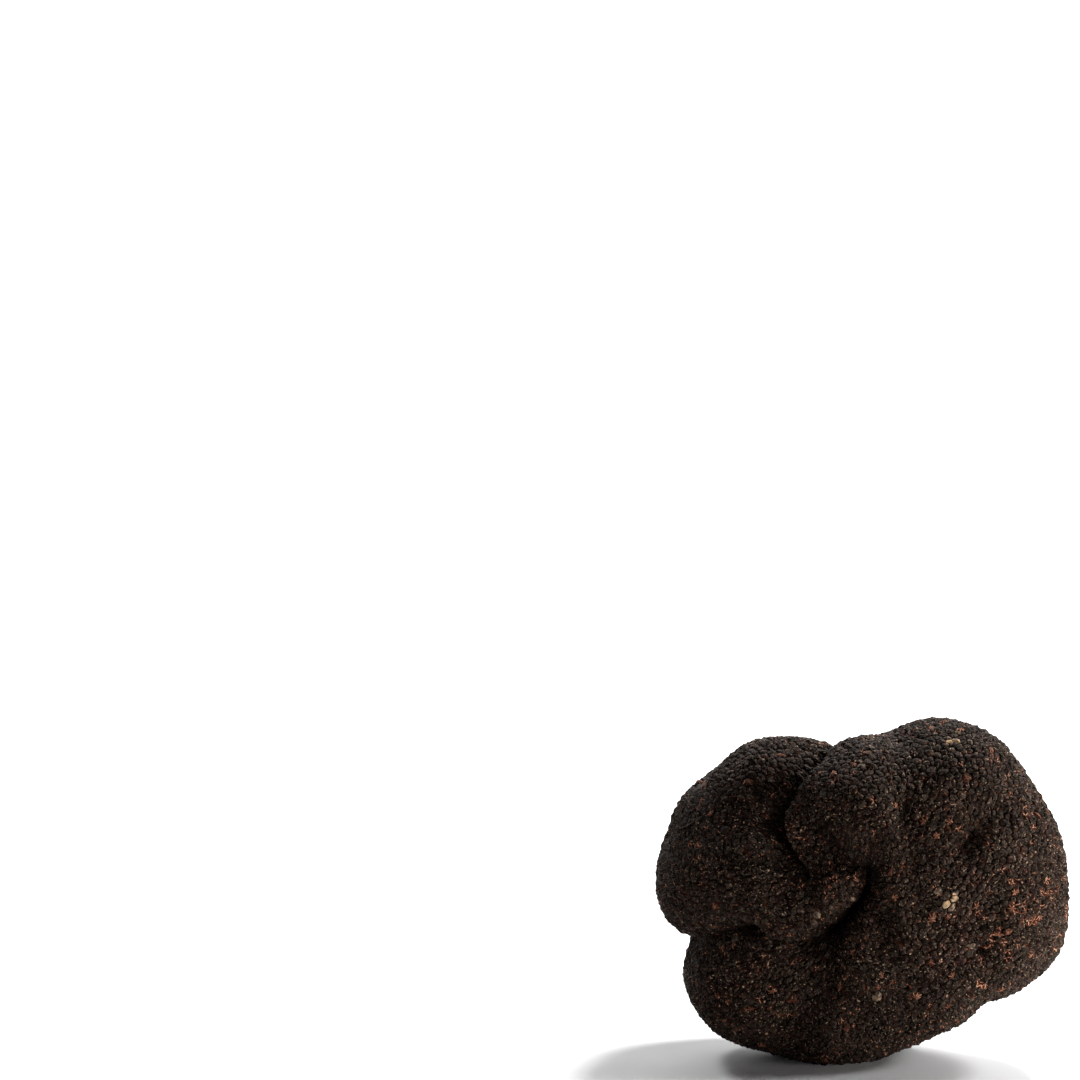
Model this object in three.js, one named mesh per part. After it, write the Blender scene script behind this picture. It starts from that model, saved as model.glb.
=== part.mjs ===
// Black truffle: a lobed, wrinkled tuber whose whole skin is packed with low polygonal warts.
// Millimetres, +Z up, +X to the right of the face with the long fold, which looks towards -Y.
// The body is a distance from one inner centre for every direction out of it: rounded lobes
// blended together, folds and hollows pressed in, and a flat spot worn where it rests.
import * as THREE from "three";
import { ConvexHull } from "three/addons/math/ConvexHull.js";
import { mergeVertices } from "three/addons/utils/BufferGeometryUtils.js";

// ---- driving dimensions ----
const REST_HEIGHT = 27.4; // inner centre above the flat spot
const MEAN_RADIUS = 28; // turns the angle between two directions into a length on the skin
const LOBE_BLEND = 2.6; // how softly one lobe runs into the next
const UNDULATION = 0.42; // slow swell of the skin between the folds
const WART_FREQUENCY = 13; // warts along one edge of the starting icosahedron
const WART_JITTER = 0.32; // how far a wart strays from its even place, in wart widths
const WART_SETTLING = 6; // rounds in which the warts share the skin out evenly
const WART_RISE = 0.5; // mean height of a wart's peak over the body
const WART_RISE_SPREAD = 0.5; // share of that height that varies from wart to wart
const CRACK_DEPTH = 0.35; // depth of the cracks between warts under the body
const FOLD_STEPS = 6; // straight pieces between two points of a fold
const SEED = 20261;

// Lobes as ellipsoids: centre x, y, z from the inner centre, then the three radii.
const LOBES = {
  core: [0, 0, -1, 22, 19.4, 17],
  rightTop: [13, 0.5, 10, 14.3, 17.5, 17.8],
  rightShoulder: [19.2, 0, 6.6, 11.4, 14.5, 11.2],
  rightSide: [17.8, 0.5, -3.8, 14.5, 16.5, 12.8],
  rightLow: [6.6, 0.6, -9.8, 14.1, 17, 13.1],
  bottom: [-7, 1.4, -15, 13.8, 17.6, 12.6],
  bottomLeft: [-18.3, 0.5, -14.2, 10.8, 16, 10.2],
  leftTop: [-13.2, 1, 11.6, 11.4, 18.5, 12.1],
  leftCorner: [-18, 0.5, 8.6, 11.4, 15, 10.6],
  leftLow: [-21.6, 1, 0.3, 11.8, 18.5, 10.2],
  leftFront: [-12, -1.4, 0.4, 12, 15.2, 10.2],
  bulge: [1, -3.8, 12.4, 12, 17, 11.7],
  backLeft: [-13, 13.5, 3, 16.5, 15.5, 17.5],
  backTop: [3, 11, 8.5, 13, 13, 12.5],
  backLow: [2, 13, -8, 13, 13, 12.5],
  foot: [0.6, 9.4, -16.6, 10.4, 11.5, 11.8],
};

// Folds, each a run of points: longitude and latitude in degrees (longitude 0 looks towards -Y,
// 90 towards +X), depth, then the half width to the left and to the right of someone who walks
// along the run on the skin. Clefts close to a sharp line.
const CLEFTS = {
  crown: [
    [-146, 10, 0.5, 2.2, 2.2],
    [-150, 24, 3, 2.2, 2.2],
    [-158, 42, 5, 2.2, 2.2],
    [-163, 62, 4.5, 2.4, 2.4],
    [-125, 78, 2.2, 2.4, 2.4],
    [-54, 70, 2.2, 2, 2.4],
    [-44, 59, 5, 1.2, 3],
    [-42, 49, 7.8, 1, 3.6],
    [-43, 41, 10.4, 0.9, 4],
    [-42, 33, 11.2, 0.9, 3.8],
    [-38, 26, 9, 1, 3.4],
    [-33, 20, 5.6, 1.2, 2.8],
    [-28, 15, 3, 1.4, 2.4],
    [-23, 11, 0.8, 2, 2.2],
  ],
  heart: [
    [2, 26, 1.5, 2, 2],
    [3, 21, 5, 1.8, 1.8],
    [3, 15, 8.4, 1.7, 1.5],
    [2, 9, 10, 1.7, 1.4],
    [-2, 2, 10.6, 1.7, 1.3],
    [-8, -5, 10.6, 1.8, 1.3],
    [-13, -12, 10.6, 2, 1.5],
    [-19, -17, 10, 2.2, 1.8],
    [-25, -20, 7.4, 2.2, 1.8],
    [-32, -18, 3, 1.6, 1.6],
  ],
  waist: [
    [-21, -18, 4, 1.6, 1.6],
    [-32, -17, 2.4, 1.2, 1.2],
    [-40, -15, 2.6, 1.2, 1.2],
    [-45, -12, 4, 1.6, 1.6],
    [-49, -10, 7, 2, 2.2],
    [-54, -11, 7.6, 2, 2.4],
    [-62, -12, 6, 2, 2.4],
    [-72, -15, 4.4, 2.2, 2.4],
    [-88, -17, 5, 2.6, 2.6],
    [-108, -12, 2, 3, 3],
    [-120, -4, 0.3, 3, 3],
  ],
  back: [
    [105, -8, 0.5, 2, 2],
    [128, -4, 4, 2, 2],
    [150, -12, 5.5, 2.1, 2.1],
    [172, -16, 4.5, 2, 2],
    [-166, -26, 2, 2, 2],
    [-158, -34, 0.4, 2, 2],
  ],
};

// Valleys have round floors.
const VALLEYS = {
  underBulge: [
    [-33, 42, 1.2, 2, 4],
    [-26, 36, 3.2, 2, 5.5],
    [-19, 31, 4.2, 2.2, 6.5],
    [-11, 26, 4.2, 2.2, 5.2],
    [-4, 22.5, 4, 2.2, 3.6],
    [3, 20, 3, 2.2, 2.6],
  ],
  besideBulge: [
    [165, 70, 0.2, 4, 4],
    [100, 80, 0.9, 3.6, 3.6],
    [40, 72, 0.9, 3.4, 3.4],
    [22, 60, 0.9, 3, 3],
    [19, 47, 0.7, 3, 3],
    [18, 36, 1.4, 2.2, 2.6],
    [19, 31, 1.2, 2.2, 2.6],
    [20, 24, 0.6, 3, 3],
  ],
  rightFront: [
    [20, 24, 0.6, 3, 3],
    [23, 11, 0.5, 2.8, 2.8],
    [26, -3, 0.6, 2.8, 2.8],
    [25, -14, 0.4, 3, 3],
    [20, -26, 0.2, 3, 3],
  ],
  heartFoot: [
    [5, 6, 1, 2.8, 2.8],
    [8, -2, 2, 3, 2.8],
    [8, -9, 2.3, 3, 2.8],
    [9, -16, 1.6, 3, 3],
    [9, -26, 0.5, 3.2, 3.2],
  ],
  bottomSplit: [
    [-18, -17, 3, 3, 3],
    [-17, -26, 2.8, 3.2, 3],
    [-18, -32, 2.4, 3.2, 3],
    [-23, -38, 1.9, 3.4, 3.2],
    [-31, -44, 1.4, 3.8, 3.8],
    [-40, -51, 0.6, 4, 4],
  ],
  rightDent: [
    [39, 19, 0.6, 2.6, 1.8],
    [44, 23, 2.4, 2.8, 1.5],
    [50, 28, 1.8, 2.8, 1.7],
    [61, 31, 0.5, 2.6, 2.2],
  ],
  rightWaist: [
    [61, 9, 0.8, 2.8, 2.8],
    [51, 4, 1.3, 2.8, 2.8],
    [44, -4, 1.2, 2.8, 2.8],
    [30, -8, 0.9, 3, 3],
  ],
  lowRight: [
    [48, -35, 0.3, 3, 3],
    [68, -40, 0.9, 2.6, 2.6],
    [90, -41, 1.5, 2.6, 2.6],
    [114, -42, 0.5, 3, 3],
  ],
  lowCrack: [
    [8, -36, 0.3, 1.2, 1.2],
    [14, -38, 1.1, 1.1, 1.1],
    [21, -41, 0.8, 1.2, 1.2],
  ],
  side: [
    [92, 50, 0.5, 4, 4],
    [98, 24, 1.8, 4.5, 4.5],
    [92, 2, 1, 4.5, 4.5],
  ],
  backTop: [
    [150, 40, 0.8, 4, 4],
    [175, 20, 1.5, 5, 5],
    [-170, 0, 0.8, 5, 5],
  ],
};

// Small round hollows: longitude, latitude, depth, half width.
const HOLLOWS = {
  wormHole: [49.5, -16, 3.6, 1.15],
  lip: [-3, 11, 1.6, 4.5],
  backHole: [132, 28, 1.8, 1.6],
  leftPit: [-118, -18, 2, 2],
  shoulderDent: [-95, 35, 1.5, 3],
};

// ---- small helpers ----
function seededRandom(seed) {
  let state = seed;
  return () => {
    state = (state * 1664525 + 1013904223) % 4294967296;
    return state / 4294967296;
  };
}

function directionAt(longitude, latitude) {
  const lon = THREE.MathUtils.degToRad(longitude);
  const lat = THREE.MathUtils.degToRad(latitude);
  return new THREE.Vector3(Math.sin(lon) * Math.cos(lat), -Math.cos(lon) * Math.cos(lat), Math.sin(lat));
}

// ---- the lobes ----
// Negative inside the blended lobes, positive outside.
function lobeField(x, y, z) {
  let sum = 0;
  for (const [cx, cy, cz, rx, ry, rz] of Object.values(LOBES)) {
    const scaled = Math.hypot((x - cx) / rx, (y - cy) / ry, (z - cz) / rz);
    sum += Math.exp(-((scaled - 1) * Math.cbrt(rx * ry * rz)) / LOBE_BLEND);
  }
  return -LOBE_BLEND * Math.log(sum);
}

// Outermost skin of the lobes along a direction: step inwards, then halve the last step.
function lobeRadius(direction) {
  const inside = (t) => lobeField(direction.x * t, direction.y * t, direction.z * t) < 0;
  const farthest = 46;
  const step = 0.8;
  const halvings = 14;
  let outer = farthest;
  while (outer > step && !inside(outer - step)) outer -= step;
  let inner = outer - step;
  for (let i = 0; i < halvings; i++) {
    const middle = (inner + outer) / 2;
    if (inside(middle)) inner = middle;
    else outer = middle;
  }
  return (inner + outer) / 2;
}

// ---- folds and hollows ----
// A run of points as a smooth line of { at, size } on the unit sphere, where size holds the depth
// and the two half widths.
function foldLine(points) {
  const places = points.map(([lon, lat]) => directionAt(lon, lat));
  const sizes = points.map(([, , depth, left, right]) => new THREE.Vector3(depth, left, right));
  const placeCurve = new THREE.CatmullRomCurve3(places, false, "catmullrom", 0.5);
  const sizeCurve = new THREE.CatmullRomCurve3(sizes, false, "catmullrom", 0.5);
  const steps = (points.length - 1) * FOLD_STEPS;
  return Array.from({ length: steps + 1 }, (_, i) => ({
    at: placeCurve.getPoint(i / steps).normalize(),
    size: sizeCurve.getPoint(i / steps),
  }));
}

const cleftLines = Object.values(CLEFTS).map(foldLine);
const valleyLines = Object.values(VALLEYS).map(foldLine);
const hollowPlaces = Object.values(HOLLOWS).map(([lon, lat, depth, width]) => ({
  at: directionAt(lon, lat),
  depth,
  width,
}));
const sharpProfile = (offset) => Math.exp(-offset);
const roundProfile = (offset) => Math.exp(-offset * offset);

function lineCut(direction, line, profile) {
  const segment = new THREE.Line3();
  const nearest = new THREE.Vector3();
  const leftward = new THREE.Vector3();
  const size = new THREE.Vector3();
  let cut = 0;
  for (let i = 0; i + 1 < line.length; i++) {
    segment.set(line[i].at, line[i + 1].at);
    const share = segment.closestPointToPointParameter(direction, true);
    segment.at(share, nearest);
    size.lerpVectors(line[i].size, line[i + 1].size, share);
    leftward.crossVectors(segment.start, segment.end);
    const width = direction.dot(leftward) > 0 ? size.y : size.z;
    const offset = (nearest.distanceTo(direction) * MEAN_RADIUS) / width;
    cut = Math.max(cut, size.x * profile(offset));
  }
  return cut;
}

function foldCut(direction) {
  const sharp = Math.max(...cleftLines.map((line) => lineCut(direction, line, sharpProfile)));
  const round = Math.max(...valleyLines.map((line) => lineCut(direction, line, roundProfile)));
  const hollow = Math.max(
    ...hollowPlaces.map(({ at, depth, width }) =>
      depth * roundProfile((at.distanceTo(direction) * MEAN_RADIUS) / width)),
  );
  return sharp + Math.max(round, hollow);
}

// ---- slow swell ----
function waves(x, y, z, rate) {
  const [a, b, c] = [x * rate, y * rate, z * rate];
  return Math.sin(a) * Math.cos(b) + Math.sin(b) * Math.cos(c) + Math.sin(c) * Math.cos(a);
}

function swell(direction) {
  const x = direction.x * MEAN_RADIUS;
  const y = direction.y * MEAN_RADIUS;
  const z = direction.z * MEAN_RADIUS;
  const short = waves(0.8 * x + 0.6 * y, 0.8 * y - 0.6 * x + 5, z + 0.3 * x, 0.4);
  const long = waves(0.6 * x - 0.8 * z, 0.8 * x + 0.6 * z + 9, y + 0.4 * z, 0.24);
  return UNDULATION * (0.45 * short + 0.75 * long);
}

function bodyRadius(direction) {
  return lobeRadius(direction) - foldCut(direction) + swell(direction);
}

// The skin at a direction, raised by a height, and never below the flat spot.
function skinPoint(direction, radius) {
  const toFloor = direction.z < 0 ? REST_HEIGHT / -direction.z : Infinity;
  return direction.clone().multiplyScalar(Math.min(radius, toFloor));
}

// ---- warts ----
// Even directions over a sphere, each shaken out of its place.
function wartCentres(random) {
  const even = new THREE.IcosahedronGeometry(1, WART_FREQUENCY - 1);
  even.deleteAttribute("normal");
  even.deleteAttribute("uv");
  const places = mergeVertices(even, 1e-4).getAttribute("position");
  const wartWidth = Math.sqrt((4 * Math.PI) / places.count);
  return Array.from({ length: places.count }, (_, i) => {
    const shake = new THREE.Vector3(random() - 0.5, random() - 0.5, random() - 0.5);
    return new THREE.Vector3()
      .fromBufferAttribute(places, i)
      .addScaledVector(shake, 2 * WART_JITTER * wartWidth)
      .normalize();
  });
}

// The cracks: every three neighbouring warts meet in one corner, and the corners around a wart,
// taken in turn, are its outline. Returns the corner directions and each wart's ring of corners.
function wartOutlines(centres) {
  const numbers = new Map(centres.map((centre, i) => [centre, i]));
  const rings = centres.map(() => []);
  const corners = new ConvexHull().setFromPoints(centres).faces.map((face, corner) => {
    const meeting = [face.edge, face.edge.next, face.edge.next.next].map((edge) => edge.head().point);
    meeting.forEach((centre) => rings[numbers.get(centre)].push(corner));
    return new THREE.Vector3().add(meeting[0]).add(meeting[1]).add(meeting[2]).normalize();
  });
  rings.forEach((ring, i) => {
    const out = centres[i];
    const across = new THREE.Vector3(0, 0, 1).cross(out).normalize();
    const along = out.clone().cross(across);
    const turn = (corner) => Math.atan2(corners[corner].dot(along), corners[corner].dot(across));
    ring.sort((a, b) => turn(a) - turn(b));
  });
  return { corners, rings };
}

// Moves every wart to the middle of its own patch of skin, so that steep walls get as many warts
// as flat ground.
function settle(centres) {
  const { corners, rings } = wartOutlines(centres);
  const cornerPoints = corners.map((corner) => skinPoint(corner, bodyRadius(corner)));
  const facet = new THREE.Triangle();
  const middle = new THREE.Vector3();
  return centres.map((centre, i) => {
    const peak = skinPoint(centre, bodyRadius(centre));
    const sum = new THREE.Vector3();
    rings[i].forEach((corner, k) => {
      const next = rings[i][(k + 1) % rings[i].length];
      facet.set(peak, cornerPoints[corner], cornerPoints[next]);
      sum.addScaledVector(facet.getMidpoint(middle), facet.getArea());
    });
    return sum.normalize();
  });
}

function truffleGeometry() {
  const random = seededRandom(SEED);
  let centres = wartCentres(random);
  for (let round = 0; round < WART_SETTLING; round++) centres = settle(centres);
  const { corners, rings } = wartOutlines(centres);

  const peaks = centres.map((centre) => {
    const share = 1 + WART_RISE_SPREAD * (2 * random() - 1);
    return skinPoint(centre, bodyRadius(centre) + WART_RISE * share);
  });
  const cracks = corners.map((corner) => skinPoint(corner, bodyRadius(corner) - CRACK_DEPTH));

  const indices = rings.flatMap((ring, i) =>
    ring.flatMap((corner, k) => {
      const next = ring[(k + 1) % ring.length];
      return [i, peaks.length + corner, peaks.length + next];
    }));
  const geometry = new THREE.BufferGeometry().setFromPoints([...peaks, ...cracks]);
  geometry.setIndex(indices);

  // The middle of the box stands over the origin and the flat spot lies on z = 0.
  geometry.computeBoundingBox();
  const middle = geometry.boundingBox.getCenter(new THREE.Vector3());
  geometry.translate(-middle.x, -middle.y, REST_HEIGHT);
  geometry.computeVertexNormals();
  return geometry;
}

const skin = new THREE.MeshStandardMaterial({ color: 0x2e2420, roughness: 0.85, metalness: 0 });
const truffle = new THREE.Mesh(truffleGeometry(), skin);
truffle.name = "truffle";

const part = new THREE.Group();
part.name = "black_truffle";
part.add(truffle);

export default part;
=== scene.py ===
"""Black truffle: a lobed, wrinkled tuber whose skin is packed with low polygonal warts."""

import math

import bpy
import numpy as np
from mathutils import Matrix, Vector


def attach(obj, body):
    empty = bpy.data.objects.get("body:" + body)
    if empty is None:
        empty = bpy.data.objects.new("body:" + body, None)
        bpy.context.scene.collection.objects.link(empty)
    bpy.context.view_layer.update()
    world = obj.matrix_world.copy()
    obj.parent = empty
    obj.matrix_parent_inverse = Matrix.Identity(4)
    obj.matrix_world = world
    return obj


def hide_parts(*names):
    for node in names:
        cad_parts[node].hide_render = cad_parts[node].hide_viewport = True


bl_info = {
    "name": "Black Truffle",
    "version": (1, 0, 0),
    "blender": (4, 5, 0),
    "location": "3D View > Sidebar > Truffle",
    "description": "Builds a whole black truffle with its warty skin, and a plain studio round it",
    "category": "Object",
}

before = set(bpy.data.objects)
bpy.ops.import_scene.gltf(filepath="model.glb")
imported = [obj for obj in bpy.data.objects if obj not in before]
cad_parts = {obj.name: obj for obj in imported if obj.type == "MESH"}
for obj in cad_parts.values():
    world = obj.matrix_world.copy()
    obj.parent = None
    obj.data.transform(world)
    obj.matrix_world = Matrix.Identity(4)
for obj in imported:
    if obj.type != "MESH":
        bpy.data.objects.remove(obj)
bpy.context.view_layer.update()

MM = 0.001

# ---------------------------------------------------------------------------------------------
# The body: a distance from the inner centre for every direction out of it, in millimetres
# ---------------------------------------------------------------------------------------------
INNER_CENTRE = (0.705, -4.103, 27.4)
MEAN_RADIUS = 28.0
FARTHEST = 38.0
RADIAL_STEP = 0.8
HALVINGS = 12
FOLD_STEPS = 6
ALMOST_LEVEL = 1e-9

# The slow swell: how fast its short and its long waves turn for each millimetre, and their shares.
SHORT_RATE, LONG_RATE = 0.4, 0.24
SHORT_SHARE, LONG_SHARE = 0.45, 0.75

# Lobes as ellipsoids: centre x, y, z from the inner centre, then the three radii.
LOBES = {
    "core": (0, 0, -1, 22, 19.4, 17),
    "right_top": (13, 0.5, 10, 14.3, 17.5, 17.8),
    "right_shoulder": (19.2, 0, 6.6, 11.4, 14.5, 11.2),
    "right_side": (17.8, 0.5, -3.8, 14.5, 16.5, 12.8),
    "right_low": (6.6, 0.6, -9.8, 14.1, 17, 13.1),
    "bottom": (-7, 1.4, -15, 13.8, 17.6, 12.6),
    "bottom_left": (-18.3, 0.5, -14.2, 10.8, 16, 10.2),
    "left_top": (-13.2, 1, 11.6, 11.4, 18.5, 12.1),
    "left_corner": (-18, 0.5, 8.6, 11.4, 15, 10.6),
    "left_low": (-21.6, 1, 0.3, 11.8, 18.5, 10.2),
    "left_front": (-12, -1.4, 0.4, 12, 15.2, 10.2),
    "bulge": (1, -3.8, 12.4, 12, 17, 11.7),
    "back_left": (-13, 13.5, 3, 16.5, 15.5, 17.5),
    "back_top": (3, 11, 8.5, 13, 13, 12.5),
    "back_low": (2, 13, -8, 13, 13, 12.5),
    "foot": (0.6, 9.4, -16.6, 10.4, 11.5, 11.8),
}

# Folds: runs of longitude and latitude in degrees (longitude 0 looks towards -Y, 90 towards +X), then
# depth and the half widths to the left and to the right of the run, seen from outside. Clefts close to
# a sharp line and valleys have round floors.
CLEFTS = {
    "crown": (
        (-146, 10, 0.5, 2.2, 2.2), (-150, 24, 3, 2.2, 2.2), (-158, 42, 5, 2.2, 2.2),
        (-163, 62, 4.5, 2.4, 2.4), (-125, 78, 2.2, 2.4, 2.4), (-54, 70, 2.2, 2, 2.4), (-44, 59, 5, 1.2, 3),
        (-42, 49, 7.8, 1, 3.6), (-43, 41, 10.4, 0.9, 4), (-42, 33, 11.2, 0.9, 3.8), (-38, 26, 9, 1, 3.4),
        (-33, 20, 5.6, 1.2, 2.8), (-28, 15, 3, 1.4, 2.4), (-23, 11, 0.8, 2, 2.2),
    ),
    "heart": (
        (2, 26, 1.5, 2, 2), (3, 21, 5, 1.8, 1.8), (3, 15, 8.4, 1.7, 1.5), (2, 9, 10, 1.7, 1.4),
        (-2, 2, 10.6, 1.7, 1.3), (-8, -5, 10.6, 1.8, 1.3), (-13, -12, 10.6, 2, 1.5), (-19, -17, 10, 2.2, 1.8),
        (-25, -20, 7.4, 2.2, 1.8), (-32, -18, 3, 1.6, 1.6),
    ),
    "waist": (
        (-21, -18, 4, 1.6, 1.6), (-32, -17, 2.4, 1.2, 1.2), (-40, -15, 2.6, 1.2, 1.2),
        (-45, -12, 4, 1.6, 1.6), (-49, -10, 7, 2, 2.2), (-54, -11, 7.6, 2, 2.4), (-62, -12, 6, 2, 2.4),
        (-72, -15, 4.4, 2.2, 2.4), (-88, -17, 5, 2.6, 2.6), (-108, -12, 2, 3, 3), (-120, -4, 0.3, 3, 3),
    ),
    "back": (
        (105, -8, 0.5, 2, 2), (128, -4, 4, 2, 2), (150, -12, 5.5, 2.1, 2.1), (172, -16, 4.5, 2, 2),
        (-166, -26, 2, 2, 2), (-158, -34, 0.4, 2, 2),
    ),
}
VALLEYS = {
    "under_bulge": (
        (-33, 42, 1.2, 2, 4), (-26, 36, 3.2, 2, 5.5), (-19, 31, 4.2, 2.2, 6.5), (-11, 26, 4.2, 2.2, 5.2),
        (-4, 22.5, 4, 2.2, 3.6), (3, 20, 3, 2.2, 2.6),
    ),
    "beside_bulge": (
        (165, 70, 0.2, 4, 4), (100, 80, 0.9, 3.6, 3.6), (40, 72, 0.9, 3.4, 3.4), (22, 60, 0.9, 3, 3),
        (19, 47, 0.7, 3, 3), (18, 36, 1.4, 2.2, 2.6), (19, 31, 1.2, 2.2, 2.6), (20, 24, 0.6, 3, 3),
    ),
    "right_front": (
        (20, 24, 0.6, 3, 3), (23, 11, 0.5, 2.8, 2.8), (26, -3, 0.6, 2.8, 2.8), (25, -14, 0.4, 3, 3),
        (20, -26, 0.2, 3, 3),
    ),
    "heart_foot": (
        (5, 6, 1, 2.8, 2.8), (8, -2, 2, 3, 2.8), (8, -9, 2.3, 3, 2.8), (9, -16, 1.6, 3, 3),
        (9, -26, 0.5, 3.2, 3.2),
    ),
    "bottom_split": (
        (-18, -17, 3, 3, 3), (-17, -26, 2.8, 3.2, 3), (-18, -32, 2.4, 3.2, 3), (-23, -38, 1.9, 3.4, 3.2),
        (-31, -44, 1.4, 3.8, 3.8), (-40, -51, 0.6, 4, 4),
    ),
    "right_dent": (
        (39, 19, 0.6, 2.6, 1.8), (44, 23, 2.4, 2.8, 1.5), (50, 28, 1.8, 2.8, 1.7), (61, 31, 0.5, 2.6, 2.2),
    ),
    "right_waist": (
        (61, 9, 0.8, 2.8, 2.8), (51, 4, 1.3, 2.8, 2.8), (44, -4, 1.2, 2.8, 2.8), (30, -8, 0.9, 3, 3),
    ),
    "low_right": (
        (48, -35, 0.3, 3, 3), (68, -40, 0.9, 2.6, 2.6), (90, -41, 1.5, 2.6, 2.6), (114, -42, 0.5, 3, 3),
    ),
    "low_crack": ((8, -36, 0.3, 1.2, 1.2), (14, -38, 1.1, 1.1, 1.1), (21, -41, 0.8, 1.2, 1.2)),
    "side": ((92, 50, 0.5, 4, 4), (98, 24, 1.8, 4.5, 4.5), (92, 2, 1, 4.5, 4.5)),
    "back_top": ((150, 40, 0.8, 4, 4), (175, 20, 1.5, 5, 5), (-170, 0, 0.8, 5, 5)),
}

# Small round hollows: longitude, latitude, depth, half width.
HOLLOWS = {
    "worm_hole": (49.5, -16, 3.6, 1.15),
    "lip": (-3, 11, 1.6, 4.5),
    "back_hole": (132, 28, 1.8, 1.6),
    "left_pit": (-118, -18, 2, 2),
    "shoulder_dent": (-95, 35, 1.5, 3),
}

# Where a wart's shoulder ring lies in the facet map, from 0 at the peak to 1 at the crack.
RING = 0.62

# How much of its height a wart keeps: less for each millimetre of a cleft's depth, little where the
# ground has worn it, and in step with its radius, which is full at this many millimetres.
LOST_IN_CLEFT, LEAST_IN_CLEFT = 0.06, 0.4
LEFT_WHERE_WORN, WORN_MARGIN = 0.15, 0.02
FULL_RADIUS, SIZE_LIMITS = 0.8, (0.5, 1.3)

# How much the places of the shoulders, their heights and the depths of the cracks differ, as shares.
SHOULDER_STRAY, RIDGE_UNEVENNESS, CRACK_UNEVENNESS = 0.12, 0.8, 0.8

# Painted shade: the light lost for each millimetre of a cleft's depth and of a softer fold's, the least
# that is left, the hollows painted dark inside, and how far that reaches as a multiple of their half width.
CLEFT_SHADE, FOLD_SHADE, LEAST_LIGHT = 0.14, 0.09, 0.05
SHADED_HOLES, SHADE_REACH = ("worm_hole", "back_hole"), 1.5

# A face's tone is partly its wart's, and partly its own. Raised to this power, few ridges are pale.
WART_TONE_SHARE, PALE_RARITY = 0.5, 2

# How much a rubbed spot's strength differs from wart to wart, and from face to face.
BARE_RANGE, BARE_FACE_RANGE = (0.55, 1.45), (0.6, 1.2)

# Rusty stars: the chance of one on a peak, where warts meet, and in a rusty spot on top of that; the
# patches that thin or thicken them; their strength; their rays; and rust on a ridge with no star.
PEAK_STARS, MEETING_STARS, SPOT_STARS = 0.03, 0.02, 0.28
PATCH_RATE, PATCH_CONTRAST, PATCH_RANGE = 0.55, 0.45, (0.3, 1.7)
STAR_RANGE = (0.4, 1)
RAY_CHANCE, RAY_RANGE = 0.75, (0.25, 0.75)
STRAY_CHANCE, STRAY_STRENGTH = 0.04, 0.5

# In the middle of a wart's rim a mark has this share of what it has on the two ridges beside it.
MARK_AT_RIM = 0.3

# The flat chart of the skin: how far past its own square each of the six parts reaches, the steepest
# slope that is kept, and the margin round each.
CHART_REACH, CHART_STEEPEST, CHART_MARGIN = 1.12, 3, 0.002

# Rubbed places: longitude, latitude, reach in millimetres, strength 0 to 1.
CREAM_SPOTS = {
    "top_a": (55, 56, 0.9, 0.9), "top_b": (60, 52, 0.7, 0.4), "top_c": (63, 58, 0.7, 0.35),
    "right_a": (31.5, 5.2, 0.7, 1), "right_b": (36.8, 4.6, 0.65, 1), "right_c": (34.5, 0.8, 0.8, 1),
    "lip": (-5, 3, 0.9, 0.38), "front_a": (-20, -3, 0.8, 0.4), "front_b": (-26, -2, 0.8, 0.35),
    "front_c": (-15, -1, 0.6, 0.35), "front_d": (-23, -7, 0.6, 0.35),
    "left": (-56, -14, 0.8, 0.45), "bottom": (6, -40, 0.7, 0.42), "hole_rim": (45.5, -15, 1.2, 0.36),
    "crown_a": (4, 58, 0.9, 0.38), "crown_b": (-2, 56, 0.9, 0.38), "back": (165, 12, 1, 0.8),
}
RUST_SPOTS = {
    "right_a": (61, -2, 2, 1), "right_b": (51, -9, 2.0, 0.7), "right_star": (68, 26, 1, 1),
    "right_c": (67, 4, 1.6, 0.8), "right_d": (46, 1, 1.5, 0.8), "left": (-67, 18, 1.6, 0.8),
    "front": (-2, 7, 2.5, 0.7), "back_a": (150, -4, 3, 0.8), "back_b": (-130, 30, 2.5, 0.8),
}


def direction_at(longitude, latitude):
    lon, lat = math.radians(longitude), math.radians(latitude)
    return np.array([math.sin(lon) * math.cos(lat), -math.cos(lon) * math.cos(lat), math.sin(lat)])


def unit(vectors):
    return vectors / np.linalg.norm(vectors, axis=-1, keepdims=True)


def lobe_field(points, blend):
    """Negative inside the blended lobes, positive outside."""
    total = np.zeros(len(points))
    for lobe in LOBES.values():
        centre, radii = np.array(lobe[:3]), np.array(lobe[3:])
        scaled = np.linalg.norm((points - centre) / radii, axis=1)
        total += np.exp(-(scaled - 1) * np.cbrt(radii.prod()) / blend)
    return -blend * np.log(total)


def lobe_radius(directions, blend):
    """Outermost skin of the lobes along each direction: step inwards, then halve the last step."""
    outer = np.full(len(directions), FARTHEST)
    walking = np.arange(len(directions))
    while len(walking):
        inside = lobe_field(directions[walking] * (outer[walking] - RADIAL_STEP)[:, None], blend) < 0
        walking = walking[~inside]
        outer[walking] -= RADIAL_STEP
    inner = outer - RADIAL_STEP
    for _ in range(HALVINGS):
        middle = (inner + outer) / 2
        inside = lobe_field(directions * middle[:, None], blend) < 0
        inner = np.where(inside, middle, inner)
        outer = np.where(inside, outer, middle)
    return (inner + outer) / 2


def between_rows(before, here, there, beyond, t):
    """A row on the smooth curve from here to there, which also heeds the rows on either side."""
    return 0.5 * (
        2 * here
        + (there - before) * t
        + (2 * before - 5 * here + 4 * there - beyond) * t**2
        + (3 * here - before - 3 * there + beyond) * t**3
    )


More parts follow.
